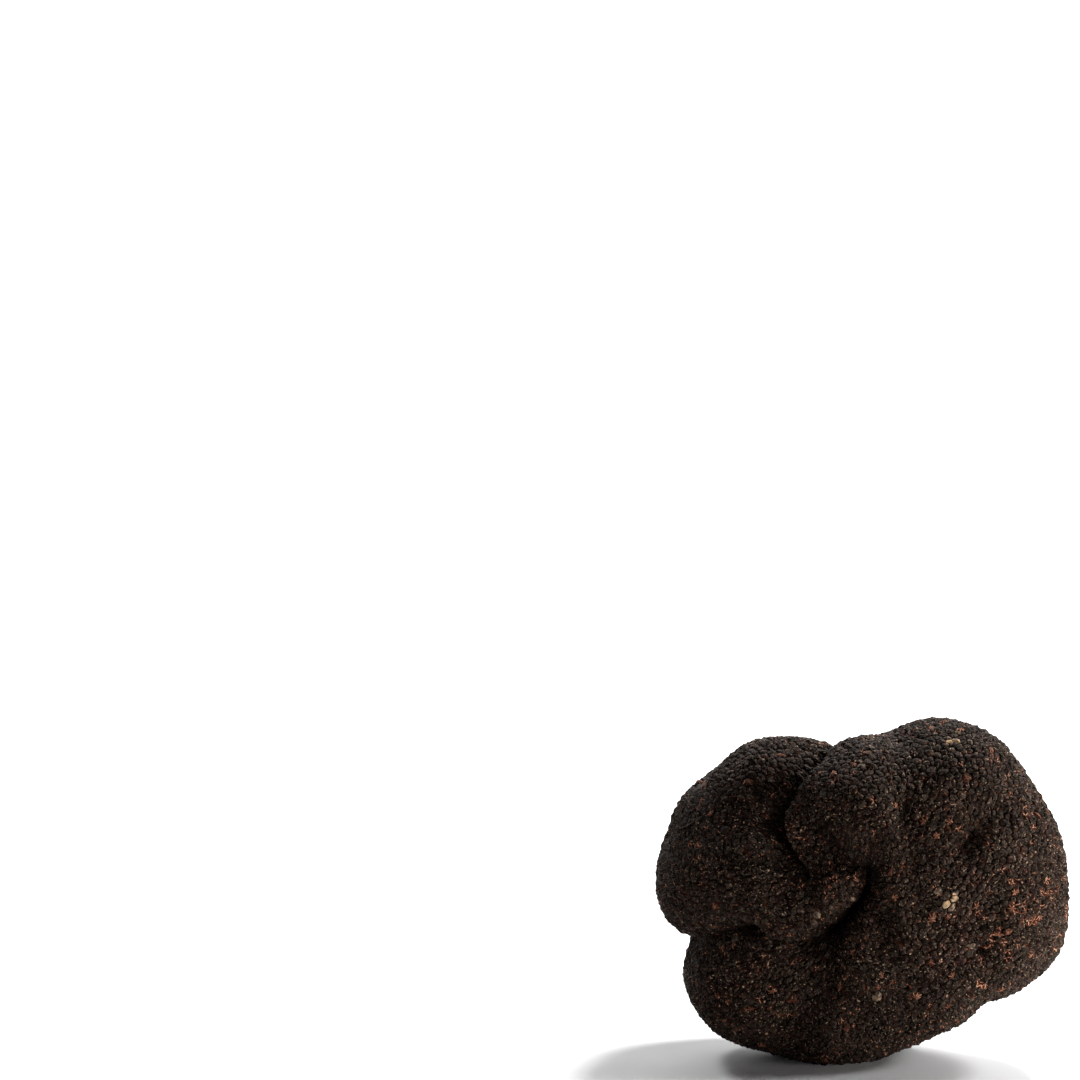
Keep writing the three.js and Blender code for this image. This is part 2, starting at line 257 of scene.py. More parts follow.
def fold_line(points):
    """A run of points as a smooth line on the unit sphere, with its depth and half widths."""
    rows = np.array([[*direction_at(lon, lat), *cut] for lon, lat, *cut in points])
    first, last = 2 * rows[0] - rows[1], 2 * rows[-1] - rows[-2]
    rows = np.vstack([first, rows, last])
    line = []
    for i in range(1, len(rows) - 2):
        for step in range(FOLD_STEPS):
            line.append(between_rows(*rows[i - 1 : i + 3], step / FOLD_STEPS))
    line.append(rows[-2])
    line = np.array(line)
    line[:, :3] = unit(line[:, :3])
    return line


def sharp_profile(offset):
    return np.exp(-offset)


def round_profile(offset):
    return np.exp(-offset * offset)


def line_cut(directions, line, profile):
    cut = np.zeros(len(directions))
    for here, there in zip(line[:-1], line[1:]):
        along = there[:3] - here[:3]
        share = np.clip((directions - here[:3]) @ along / (along @ along), 0, 1)
        nearest = here[:3] + share[:, None] * along
        depth, left, right = here[3:, None] + (there - here)[3:, None] * share
        width = np.where(directions @ np.cross(here[:3], along) > 0, left, right)
        offset = np.linalg.norm(directions - nearest, axis=1) * MEAN_RADIUS / width
        cut = np.maximum(cut, depth * profile(offset))
    return cut


def cleft_cut(directions):
    return np.max([line_cut(directions, fold_line(run), sharp_profile) for run in CLEFTS.values()], axis=0)


def soft_cut(directions):
    cuts = [line_cut(directions, fold_line(run), round_profile) for run in VALLEYS.values()]
    for lon, lat, depth, width in HOLLOWS.values():
        offset = np.linalg.norm(directions - direction_at(lon, lat), axis=1) * MEAN_RADIUS / width
        cuts.append(depth * round_profile(offset))
    return np.max(cuts, axis=0)


def waves(x, y, z, rate):
    a, b, c = x * rate, y * rate, z * rate
    return np.sin(a) * np.cos(b) + np.sin(b) * np.cos(c) + np.sin(c) * np.cos(a)


def swell(directions):
    x, y, z = (directions * MEAN_RADIUS).T
    short = waves(0.8 * x + 0.6 * y, 0.8 * y - 0.6 * x + 5, z + 0.3 * x, SHORT_RATE)
    long = waves(0.6 * x - 0.8 * z, 0.8 * x + 0.6 * z + 9, y + 0.4 * z, LONG_RATE)
    return SHORT_SHARE * short + LONG_SHARE * long


def body_points(directions, body):
    """The skin along each direction, never below the flat spot, and how deep in a cleft it is."""
    cleft = cleft_cut(directions)
    radius = lobe_radius(directions, body.lobe_blend / MM) - cleft - soft_cut(directions)
    radius += body.undulation / MM * swell(directions)
    down = np.minimum(directions[:, 2], -ALMOST_LEVEL)
    floor = np.where(directions[:, 2] < 0, INNER_CENTRE[2] / -down, np.inf)
    return directions * np.minimum(radius, floor)[:, None], cleft


# ---------------------------------------------------------------------------------------------
# The warts
# ---------------------------------------------------------------------------------------------
def deselect_all():
    if bpy.context.object and bpy.context.object.mode != "OBJECT":
        bpy.ops.object.mode_set(mode="OBJECT")
    bpy.ops.object.select_all(action="DESELECT")


def mesh_points(mesh):
    flat = np.empty(len(mesh.vertices) * 3)
    mesh.vertices.foreach_get("co", flat)
    return flat.reshape(-1, 3)


def mesh_triangles(mesh):
    flat = np.empty(len(mesh.polygons) * 3, int)
    mesh.polygons.foreach_get("vertices", flat)
    return flat.reshape(-1, 3)


def join_neighbours(net, directions):
    """Redraws the net over the moved wart centres, so that each meets its true neighbours.

    Two warts that fell on one place become one, so it returns the centres that are left.
    """
    net.data.clear_geometry()
    net.data.from_pydata(directions.tolist(), [], [])
    bpy.ops.object.mode_set(mode="EDIT")
    bpy.ops.mesh.select_all(action="SELECT")
    bpy.ops.mesh.convex_hull(join_triangles=False, make_holes=False)
    bpy.ops.object.mode_set(mode="OBJECT")
    directions = unit(mesh_points(net.data))
    triangles = mesh_triangles(net.data)
    corners = directions[triangles]
    facing = np.cross(corners[:, 1] - corners[:, 0], corners[:, 2] - corners[:, 0])
    inward = (facing * corners[:, 0]).sum(1) < 0
    triangles[inward] = triangles[inward][:, ::-1]
    return directions, triangles


def triangle_areas(corners):
    return np.linalg.norm(np.cross(corners[:, 1] - corners[:, 0], corners[:, 2] - corners[:, 0]), axis=1) / 2


def scatter(net, body, count, random):
    """Drops the wart centres at random, equally thick all over the folded skin."""
    points, _ = body_points(mesh_points(net.data), body)
    corners = points[mesh_triangles(net.data)]
    share = np.cumsum(triangle_areas(corners))
    pick = np.searchsorted(share, (np.arange(count) + random.random(count)) / count * share[-1])
    weights = random.dirichlet((1, 1, 1), count)
    return unit((corners[pick] * weights[:, :, None]).sum(axis=1))


def share_out(net, directions, body, rounds):
    """Lets the warts push each other apart, so that none is crushed, but their sizes still differ."""
    for _ in range(rounds):
        directions, triangles = join_neighbours(net, directions)
        points, _ = body_points(directions, body)
        corners = points[triangles]
        middle = corners.mean(axis=1)
        area = triangle_areas(corners)
        pull = np.zeros_like(points)
        weight = np.zeros(len(points))
        for side in range(3):
            np.add.at(pull, triangles[:, side], middle * area[:, None])
            np.add.at(weight, triangles[:, side], area)
        directions = unit(pull / weight[:, None])
    return join_neighbours(net, directions)


def rings_of(directions, corners, triangles):
    """Every wart's outline, corner by corner in turn: the wart, its corner, and the row of the next one."""
    wart = triangles.T.ravel()
    corner = np.tile(np.arange(len(triangles)), 3)
    out = directions[wart]
    across = unit(np.cross((0.0, 0.0, 1.0), out))
    along = np.cross(out, across)
    turn = np.arctan2((corners[corner] * along).sum(1), (corners[corner] * across).sum(1))
    order = np.lexsort((turn, wart))
    wart, corner = wart[order], corner[order]
    first = np.searchsorted(wart, wart)
    count = np.bincount(wart)[wart]
    place = np.arange(len(wart)) - first
    return wart, corner, first + (place + 1) % count


def average_onto(targets, size, values):
    total = np.zeros((size, 3))
    np.add.at(total, targets, values)
    return unit(total)


def either_way(random, count, reach):
    """Random numbers between -reach and reach."""
    return reach * (2 * random.random(count) - 1)


def within(random, count, limits):
    """Random numbers between two limits."""
    low, high = limits
    return low + (high - low) * random.random(count)


def along_skin(vectors, normals):
    return vectors - normals * (vectors * normals).sum(axis=1, keepdims=True)


def wart_mesh(net, body, warts, random):
    """The whole skin in millimetres from the inner centre, and what its material reads.

    Each wart is a low pyramid: a peak, ridges out to the corners of its shoulders, and a steep rim down
    to the crooked crack that it shares with its neighbours. It returns the points, the triangles, and
    for every corner of every triangle its facet map, the direction of its wart and its facts.
    """
    directions = scatter(net, body, warts.count, random)
    directions, triangles = share_out(net, directions, body, warts.settling)
    peaks, peak_cleft = body_points(directions, body)
    corners = unit(peaks[triangles].mean(axis=1))
    cracks, _ = body_points(corners, body)
    wart, corner, after = rings_of(directions, corners, triangles)
    following = corner[after]
    pairs, side = np.unique(np.sort(np.stack([corner, following], 1), axis=1), axis=0, return_inverse=True)
    side = side.ravel()
    rims, _ = body_points(unit(cracks[pairs].mean(axis=1)), body)

    facet = np.cross(cracks[corner] - peaks[wart], cracks[following] - peaks[wart])
    wart_up = average_onto(wart, len(peaks), facet)
    crack_up = average_onto(corner, len(cracks), facet)
    rim_up = average_onto(side, len(rims), facet)
    radius = np.bincount(wart, np.linalg.norm(cracks[corner] - peaks[wart], axis=1)) / np.bincount(wart)

    floor = -INNER_CENTRE[2]
    calm = np.clip(1 - LOST_IN_CLEFT * peak_cleft, LEAST_IN_CLEFT, 1)
    calm *= np.where(peaks[:, 2] < floor + WORN_MARGIN, LEFT_WHERE_WORN, 1)
    calm *= np.clip(radius / FULL_RADIUS, *SIZE_LIMITS)
    height = calm * (1 + either_way(random, len(peaks), warts.unevenness))
    wander = along_skin(either_way(random, (len(peaks), 3), warts.peak_wander) * radius[:, None], wart_up)
    raised = peaks + wander + wart_up * (warts.peak / MM * height)[:, None]

    def shoulder(outline, lift):
        share = warts.plateau + either_way(random, len(wart), SHOULDER_STRAY)
        up = lift / MM * height[wart] * (1 + either_way(random, len(wart), RIDGE_UNEVENNESS))
        return peaks[wart] + (outline - peaks[wart]) * share[:, None] + wart_up[wart] * up[:, None]

    def sink(points, up, owners):
        depth = np.zeros(len(points))
        np.maximum.at(depth, owners, calm[wart])
        depth *= warts.crack / MM * (1 + either_way(random, len(points), CRACK_UNEVENNESS))
        stray = along_skin(either_way(random, (len(points), 3), warts.crack_stray / MM), up)
        return points + stray - up * depth[:, None]

    ridges = shoulder(cracks[corner], warts.ridge)
    sunk_corners = sink(cracks, crack_up, corner)
    sunk_rims = sink(rims, rim_up, side)
    points = np.vstack([raised, ridges, sunk_corners, sunk_rims])
    points[:, 2] = np.maximum(points[:, 2], floor)

    # the sector of a wart from one ridge to the next: its face, and three triangles of its rim
    first_ridge, first_low, first_rim = np.cumsum([len(raised), len(ridges), len(sunk_corners)])
    peak, ridge, next_ridge = wart, first_ridge + np.arange(len(wart)), first_ridge + after
    low, next_low, rim = first_low + corner, first_low + following, first_rim + side
    sector = [
        (peak, ridge, next_ridge), (ridge, low, rim), (ridge, rim, next_ridge), (rim, next_low, next_ridge),
    ]
    faces = np.stack([np.stack(triangle, 1) for triangle in sector], axis=1).reshape(-1, 3)
    sector_uv = [
        (0.5, 0), (0, RING), (1, RING), (0, RING), (0, 1), (0.5, 1),
        (0, RING), (0.5, 1), (1, RING), (0.5, 1), (1, 1), (1, RING),
    ]
    facet_uv = np.tile(np.array(sector_uv), (len(wart), 1))
    facing = directions[np.repeat(wart, len(sector_uv))]
    facts = wart_facts(directions, corners, peak_cleft, (wart, corner, after), random)
    return points, faces, facet_uv, facing, facts


def wart_facts(directions, corners, peak_cleft, rings, random):
    """For the twelve corners of every sector's triangles: tone with its painted shade, rust, bare flesh and
    paleness.
    """
    wart, corner, after = rings

    def spread_out(at_peak, at_ridge):
        """From values at the peak and at each ridge's end to values at the corners of every triangle."""
        at_next = at_ridge[after]
        ends = np.stack([at_peak[wart], at_ridge, at_next, MARK_AT_RIM * (at_ridge + at_next)], 1)
        return ends[:, [0, 1, 2, 1, 1, 3, 1, 3, 2, 3, 2, 2]]

    tones, light, bare = wart_tones(directions, peak_cleft, random)
    pale = random.random(len(wart)) ** PALE_RARITY
    tone = WART_TONE_SHARE * tones[wart] + (1 - WART_TONE_SHARE) * random.random(len(wart))
    facts = np.empty((len(wart), 12, 4))
    # the tone carries the painted shade of clefts, folds and dark hollows
    facts[:, :, 0] = (light[wart] * tone)[:, None]
    facts[:, :, 1] = spread_out(*rust_marks(directions, corners, wart, corner, random))
    facts[:, :, 2] = (bare[wart] * within(random, len(wart), BARE_FACE_RANGE))[:, None]
    facts[:, :, 3] = spread_out(np.bincount(wart, pale) / np.bincount(wart), pale)
    return facts.reshape(-1, 4)


def cube_chart(points, facing):
    """Six square charts side by side, one for each way a wart can face, in a 3 by 2 sheet."""
    axis = np.argmax(np.abs(facing), axis=1)
    row = np.arange(len(axis))
    positive = facing[row, axis] > 0
    major = np.abs(points[row, axis])

    def across(other):
        slope = np.clip(points[row, other % 3] / major, -CHART_STEEPEST, CHART_STEEPEST)
        turned = np.arctan(slope) / (math.pi / 4) / CHART_REACH
        return np.clip(turned / 2 + 0.5, CHART_MARGIN, 1 - CHART_MARGIN)

    return np.stack([(axis + across(axis + 1)) / 3, (positive + across(axis + 2)) / 2], 1)


def spot_strength(directions, spots):
    strength = np.zeros(len(directions))
    for lon, lat, reach, amount in spots.values():
        offset = np.linalg.norm(directions - direction_at(lon, lat), axis=1) * MEAN_RADIUS / reach
        strength = np.maximum(strength, amount * np.exp(-offset * offset))
    return strength


def wart_tones(directions, cleft, random):
    """For each wart: how pale its skin is, its painted light, lower in clefts, folds and dark hollows, and
    how far it is rubbed bare.
    """
    tone = random.random(len(directions))
    bare = spot_strength(directions, CREAM_SPOTS) * within(random, len(directions), BARE_RANGE)
    hole_shade = {}
    for name in SHADED_HOLES:
        lon, lat, _, half_width = HOLLOWS[name]
        hole_shade[name] = (lon, lat, SHADE_REACH * half_width, 1)
    # painted shade: a wart's colour darkens with the depth of its cleft or fold, and inside the dark hollows
    light = np.clip(1 - CLEFT_SHADE * cleft - FOLD_SHADE * soft_cut(directions), LEAST_LIGHT, 1)
    return tone, light * (1 - spot_strength(directions, hole_shade)), np.clip(bare, 0, 1)


def rust_marks(directions, corners, wart, corner, random):
    """How rusty every peak and every ridge's end is rubbed.

    Some warts wear a star of rust round their peak, and where three warts meet the ends of their
    ridges are sometimes rusty round a dark middle.
    """

    def stars(places, share):
        x, y, z = (places * MEAN_RADIUS).T
        patchy = np.clip(0.5 + PATCH_CONTRAST * waves(x, y, z, PATCH_RATE), 0, 1)
        least, most = PATCH_RANGE
        chance = share * (least + (most - least) * patchy) + SPOT_STARS * spot_strength(places, RUST_SPOTS)
        return (random.random(len(places)) < chance) * within(random, len(places), STAR_RANGE)

    peak, end = stars(directions, PEAK_STARS), stars(corners, MEETING_STARS)
    ray = (random.random(len(wart)) < RAY_CHANCE) * within(random, len(wart), RAY_RANGE)
    stray = STRAY_STRENGTH * (random.random(len(wart)) > 1 - STRAY_CHANCE)
    return peak, np.maximum(peak[wart] * ray, np.maximum(end[corner], stray))


class BodySettings(bpy.types.PropertyGroup):
    lobe_blend: bpy.props.FloatProperty(
        name="Lobe Blend", description="How softly one lobe runs into the next",
        default=2.6 * MM, min=0.5 * MM, unit="LENGTH", precision=4)
    undulation: bpy.props.FloatProperty(
        name="Undulation", description="Slow swell of the skin between the folds",
        default=0.42 * MM, min=0, unit="LENGTH", precision=5)
    seed: bpy.props.IntProperty(name="Seed", description="Changes where every wart falls", default=20261)


class WartSettings(bpy.types.PropertyGroup):
    count: bpy.props.IntProperty(
        name="Warts", description="How many warts cover the skin", default=8100, min=100)
    settling: bpy.props.IntProperty(
        name="Settling", description="Rounds in which the warts push each other apart", default=1, min=0)
    plateau: bpy.props.FloatProperty(
        name="Shoulder Ring", description="Where a wart's shoulders lie, as a share of the way to its crack",
        default=0.73, min=0.3, max=0.95, subtype="FACTOR")
    peak: bpy.props.FloatProperty(
        name="Peak", description="Mean height of a wart's peak over the body",
        default=0.34 * MM, min=0, unit="LENGTH", precision=5)
    ridge: bpy.props.FloatProperty(
        name="Ridge", description="Mean height of a wart's ridges at their shoulders",
        default=0.14 * MM, min=0, unit="LENGTH", precision=5)
    crack: bpy.props.FloatProperty(
        name="Crack", description="Depth of the cracks between warts under the body",
        default=0.15 * MM, min=0, unit="LENGTH", precision=5)
    crack_stray: bpy.props.FloatProperty(
        name="Crack Stray", description="How far a crack wanders off its straight line",
        default=0.12 * MM, min=0, unit="LENGTH", precision=5)
    unevenness: bpy.props.FloatProperty(
        name="Unevenness", description="Share of a wart's height that varies from wart to wart",
        default=0.4, min=0, max=1, subtype="FACTOR")
    peak_wander: bpy.props.FloatProperty(
        name="Peak Wander", description="How far peaks stand off the middle, as a share of the wart's radius",
        default=0.3, min=0, max=0.6, subtype="FACTOR")


class SkinSettings(bpy.types.PropertyGroup):
    dark: bpy.props.FloatVectorProperty(
        name="Dark Skin", description="Darkest wart colour", subtype="COLOR", size=3, min=0, max=1,
        default=(0.0030, 0.0014, 0.0008))
    light: bpy.props.FloatVectorProperty(
        name="Light Skin", description="Palest wart colour", subtype="COLOR", size=3, min=0, max=1,
        default=(0.076, 0.048, 0.039))
    plum: bpy.props.FloatVectorProperty(
        name="Plum", description="Reddish tint of part of the skin", subtype="COLOR", size=3, min=0,
        max=1, default=(1.0, 0.70, 0.74))
    moss: bpy.props.FloatVectorProperty(
        name="Moss", description="Greenish tint of the rest of the skin", subtype="COLOR", size=3, min=0,
        max=1, default=(0.74, 0.90, 0.68))
    sheen: bpy.props.FloatVectorProperty(
        name="Sheen", description="Warm tint of the skin's faint gloss", subtype="COLOR", size=3, min=0,
        max=1, default=(1.0, 0.72, 0.56))
    ember: bpy.props.FloatVectorProperty(
        name="Ember", description="Deep red-brown round a rusty ridge", subtype="COLOR", size=3, min=0,
        max=1, default=(0.070, 0.015, 0.006))
    blush: bpy.props.FloatVectorProperty(
        name="Blush", description="Bright line along the ridge of a rusty star", subtype="COLOR", size=3,
        min=0, max=1, default=(0.78, 0.47, 0.32))
    crack: bpy.props.FloatVectorProperty(
        name="Crack", description="Colour at the bottom of the cracks", subtype="COLOR", size=3, min=0, max=1,
        default=(0.0013, 0.0006, 0.0003))
    rust: bpy.props.FloatVectorProperty(
        name="Rust", description="Colour of rubbed ridges", subtype="COLOR", size=3, min=0, max=1,
        default=(0.20, 0.068, 0.031))
    tan: bpy.props.FloatVectorProperty(
        name="Tan", description="Colour of lightly rubbed ridges", subtype="COLOR", size=3, min=0, max=1,
        default=(0.128, 0.096, 0.080))
    fleck: bpy.props.FloatVectorProperty(
        name="Fleck", description="Colour of the pale flecks strewn over the skin", subtype="COLOR", size=3,
        min=0, max=1, default=(0.44, 0.30, 0.19))
    cream: bpy.props.FloatVectorProperty(
        name="Cream", description="Colour of the flesh where warts are rubbed bare", subtype="COLOR", size=3,
        min=0, max=1, default=(0.50, 0.335, 0.19))


class StageSettings(bpy.types.PropertyGroup):
    paper: bpy.props.FloatVectorProperty(
        name="Paper", description="Colour of the floor and backdrop", subtype="COLOR", size=3, min=0, max=1,
        default=(0.70, 0.70, 0.70))
    key_power: bpy.props.FloatProperty(
        name="Key Light", description="Power of the soft light from the upper right", default=0.43, min=0,
        unit="POWER")
    fill: bpy.props.FloatProperty(
        name="Fill", description="Brightness of the light from all round", default=0.015, min=0)
    lens: bpy.props.FloatProperty(
        name="Lens", description="Focal length of the camera, in millimetres", default=100, min=20,
        subtype="DISTANCE_CAMERA")
    elevation: bpy.props.FloatProperty(
        name="Elevation", description="How far the camera looks down on the truffle", subtype="ANGLE",
        default=math.radians(8))


# ---------------------------------------------------------------------------------------------
# Skin material
# ---------------------------------------------------------------------------------------------
# Times its tone, which carries the painted shade, how lit a wart is: from a tone of one fifth up, its marks
# show in full.
FULLY_LIT = 5.0

# Fibres of a wart's face: how many lie across and along it, and how far its tone shifts them each way.
FIBRES_ACROSS, FIBRES_ALONG, FIBRE_SHIFTS = 1.1, 0.7, (90, 40)
NARROWEST_FACE = 0.05

SKIN_CONTRAST = 3.6
TINT_SHARE = 0.85
RIM_STREAK = 0.35
RELIEF_DEPTH = 0.24 * MM
GLOSS = 0.07


class Nodes:
    """Short hand for adding and linking nodes."""

    def __init__(self, tree):
        self.tree = tree

    def add(self, kind, inputs=None, **settings):
        node = self.tree.nodes.new(kind)
        for name, value in settings.items():
            setattr(node, name, value)
        for name, value in (inputs or {}).items():
            self.feed(node.inputs[name], value)
        return node

    def feed(self, socket, value):
        if isinstance(value, bpy.types.NodeSocket):
            self.tree.links.new(value, socket)
        elif hasattr(value, "__len__") and len(value) == 3 and len(socket.default_value) == 4:
            socket.default_value = (*value, 1.0)
        else:
            socket.default_value = value

    def math(self, operation, *values, clamp=False):
        node = self.add("ShaderNodeMath", operation=operation, use_clamp=clamp)
        for socket, value in zip(node.inputs, values):
            self.feed(socket, value)
        return node.outputs[0]

    def mix(self, share, first, second, blend="MIX"):
        node = self.add("ShaderNodeMix", data_type="RGBA", blend_type=blend)
        self.feed(node.inputs["Factor"], share)
        self.feed(node.inputs[6], first)
        self.feed(node.inputs[7], second)
        return node.outputs[2]

    def spread(self, value, low, high, to_low=0.0, to_high=1.0, smooth=False):
        node = self.add("ShaderNodeMapRange", interpolation_type="SMOOTHSTEP" if smooth else "LINEAR")
        for socket, item in zip(node.inputs, (value, low, high, to_low, to_high)):
            self.feed(socket, item)
        return node.outputs[0]

    def noise(self, place, scale, detail=2.0, roughness=0.5, offset=(0.0, 0.0, 0.0)):
        mapping = self.add("ShaderNodeMapping", {"Vector": place, "Location": offset})
        node = self.add("ShaderNodeTexNoise", {
            "Vector": mapping.outputs[0], "Scale": scale, "Detail": detail, "Roughness": roughness})
        return node.outputs["Fac"]


class SkinPatterns:
    """What every layer of the skin is painted from: the facts and the face of each wart, and noises."""

    def __init__(self, n):
        place = n.add("ShaderNodeTexCoord").outputs["Object"]
        face = n.add("ShaderNodeUVMap", uv_map="facet")
        facet = n.add("ShaderNodeSeparateXYZ", {"Vector": face.outputs[0]})
        across, self.outward = facet.outputs["X"], facet.outputs["Y"]
        facts = n.add("ShaderNodeAttribute", attribute_name="wart")
        parts = n.add("ShaderNodeSeparateColor", {"Color": facts.outputs["Color"]})
        # the red fact is the wart's tone times its painted shade in clefts, folds and dark hollows
        self.tone, self.rubbed, self.bare = (parts.outputs[name] for name in ("Red", "Green", "Blue"))
        self.pale = facts.outputs["Alpha"]
        self.lit = n.math("MULTIPLY", self.tone, FULLY_LIT, clamp=True)

        self.patches = n.noise(place, scale=95, detail=3, roughness=0.6)
        self.hue = n.noise(place, scale=300, detail=3, roughness=0.55, offset=(0.2, 0.6, 0.9))
        self.drift = n.noise(place, scale=420, offset=(0.3, 0.1, 0.2))
        self.flush = n.noise(place, scale=700, detail=3, roughness=0.6, offset=(0.5, 0.8, 0.4))
        self.wisps = n.noise(place, scale=1500, offset=(0.7, 0.3, 0.6))
        self.grain = n.noise(place, scale=2000, detail=3, roughness=0.65, offset=(0.1, 0.4, 0.7))
        self.flecks = n.noise(place, scale=2600, detail=1, offset=(0.4, 0.9, 0.1))
        self.grit = n.noise(place, scale=7000, roughness=0.6, offset=(0.9, 0.2, 0.3))

        # the place across a wart's face, -1 and 1 on its two ridges, and fibres that fan out from the peak
        width = n.math("MINIMUM", n.math("DIVIDE", self.outward, RING), 1.0)
        centred = n.math("MULTIPLY", n.math("SUBTRACT", across, 0.5), 2.0)
        fan = n.math("DIVIDE", centred, n.math("MAXIMUM", width, NARROWEST_FACE))
        shift, lift = (n.math("MULTIPLY", self.tone, amount) for amount in FIBRE_SHIFTS)
        spoke = n.add("ShaderNodeCombineXYZ", {
            "X": n.math("ADD", n.math("MULTIPLY", fan, FIBRES_ACROSS), shift),
            "Y": n.math("MULTIPLY", self.outward, FIBRES_ALONG), "Z": lift})
        self.fibres = n.noise(spoke.outputs[0], scale=1, detail=1)
        self.off_middle = n.math("ABSOLUTE", fan)
        on_face = n.spread(self.outward, 1.0, 0.85, smooth=True)
        self.ridge = n.math("MULTIPLY", n.spread(self.off_middle, 0.55, 0.92, smooth=True), on_face)


def plain_skin(n, p, skin):
    """The unrubbed skin, from dark to light, with moss and plum patches, and painted shade where the tone is
    low.
    """
    value = n.math("MULTIPLY", p.tone, 0.35)
    for pattern, weight in ((p.patches, 0.9), (p.drift, 0.5), (p.fibres, 1.6), (p.grain, 1.1)):
        value = n.math("ADD", value, n.math("MULTIPLY", n.math("SUBTRACT", pattern, 0.5), weight))
    # painted shade: darkest where the tone is low, in clefts, folds and dark hollows, and now and then by
    # chance
    value = n.math("MULTIPLY", n.spread(value, -0.1, 0.8), n.spread(p.tone, 0.0, 0.14, 0.3, 1.0))
    base = n.mix(n.math("POWER", value, SKIN_CONTRAST), skin.dark, skin.light)
    tint = n.mix(n.spread(p.hue, 0.44, 0.56), skin.moss, skin.plum)
    return n.mix(TINT_SHARE, base, tint, "MULTIPLY")


def rubbed_streaks(n, p, skin, base):
    """Tan and rusty lines along the ridges, round the shoulders and in wisps over the faces."""
    streak = n.math("MULTIPLY", p.ridge, n.spread(p.pale, 0.12, 0.6))
    rim = n.spread(p.outward, 0.4, 0.66, smooth=True)
    rim = n.math("MULTIPLY", rim, n.spread(p.outward, 0.9, 0.7, smooth=True))
    rim = n.math("MULTIPLY", rim, n.spread(p.flush, 0.45, 0.62))
    streak = n.math("MAXIMUM", streak, n.math("MULTIPLY", rim, RIM_STREAK))
    wisp = n.spread(n.math("ABSOLUTE", n.math("SUBTRACT", p.wisps, 0.5)), 0.035, 0.006)
    streak = n.math("MAXIMUM", streak, n.math("MULTIPLY", wisp, n.spread(p.drift, 0.45, 0.6, 0.0, 0.7)))
    streak = n.math("MULTIPLY", streak, n.spread(p.grain, 0.36, 0.56, 0.0, 0.85))
    # the streaks fade where the tone is low: in the painted shade of clefts, folds and dark hollows, and now
    # and then by chance
    streak = n.math("MULTIPLY", streak, p.lit)
    return n.mix(streak, base, n.mix(n.spread(p.flush, 0.61, 0.70), skin.tan, skin.rust))


def rusty_stars(n, p, skin, base):
    """Stars of rust: deep red-brown round a rusty ridge, with a bright line along it."""
    glow = n.math("MULTIPLY", p.rubbed, n.spread(p.ridge, 0.0, 0.8, 0.35, 1.0))
    core = n.math("MULTIPLY", p.rubbed, n.spread(p.off_middle, 0.70, 0.93))
    base = n.mix(n.spread(glow, 0.05, 0.25, 0.0, 0.85), base, skin.ember)
    rust = n.math("MULTIPLY", n.spread(glow, 0.32, 0.65), n.spread(p.grain, 0.3, 0.5, 0.5, 1.0))
    base = n.mix(rust, base, skin.rust)
    blush = n.math("MULTIPLY", n.spread(core, 0.25, 0.6), n.spread(p.grain, 0.4, 0.6, 0.3, 1.0))
    return n.mix(blush, base, skin.blush)


def bare_flesh(n, p, skin, base):
    """Warts rubbed bare to the cream flesh, with a worn tan skin round it."""
    worn = n.math("MULTIPLY", n.spread(p.bare, 0.08, 0.3), n.spread(p.grain, 0.4, 0.6))
    base = n.mix(worn, base, skin.tan)
    bare = n.math("MULTIPLY", n.spread(p.bare, 0.3, 0.6), n.spread(p.outward, 0.95, 0.7, smooth=True))
    return n.mix(n.math("MULTIPLY", bare, n.spread(p.grain, 0.3, 0.55, 0.35, 1.0)), base, skin.cream)


def cracks_and_flecks(n, p, skin, base):
    """Dark cracks, red-brown here and there, then pale flecks and grit over everything."""
    crack = n.spread(p.outward, 0.68, 0.94, smooth=True)
    crack = n.math("MULTIPLY", crack, n.spread(p.drift, 0.35, 0.52, 0.25, 1.0))
    base = n.mix(crack, base, n.mix(n.spread(p.flush, 0.47, 0.6, 0.0, 0.5), skin.crack, skin.ember))
    fleck = n.math("MULTIPLY", n.spread(p.flecks, 0.66, 0.74), n.spread(p.patches, 0.42, 0.6, 0.3, 1.0))
    # the flecks fade the same way in the painted shade and where the tone is low by chance
    base = n.mix(n.math("MULTIPLY", fleck, p.lit), base, skin.fleck)
    return n.mix(n.spread(p.grit, 0.64, 0.72, 0.0, 0.3), base, skin.cream)


def skin_material(skin):
    material = bpy.data.materials.new("truffle_skin")
    material.use_nodes = True
    tree = material.node_tree
    tree.nodes.clear()
    n = Nodes(tree)
    p = SkinPatterns(n)
    base = plain_skin(n, p, skin)
    for layer in (rubbed_streaks, rusty_stars, bare_flesh, cracks_and_flecks):
        base = layer(n, p, skin, base)

    rough = n.spread(p.grain, 0.3, 0.7, 0.6, 0.9)
    height = n.math("ADD", n.math("MULTIPLY", p.grain, 0.6), n.math("MULTIPLY", p.grit, 0.3))
    height = n.math("ADD", height, p.fibres)
    bump = n.add("ShaderNodeBump", {"Height": height, "Strength": 0.8, "Distance": RELIEF_DEPTH})
    shader = n.add("ShaderNodeBsdfPrincipled", {
        "Base Color": base, "Roughness": rough, "Normal": bump.outputs[0], "Specular IOR Level": GLOSS,
        "Specular Tint": (*skin.sheen, 1)})
    out = n.add("ShaderNodeOutputMaterial")
    tree.links.new(shader.outputs[0], out.inputs[0])
    return material


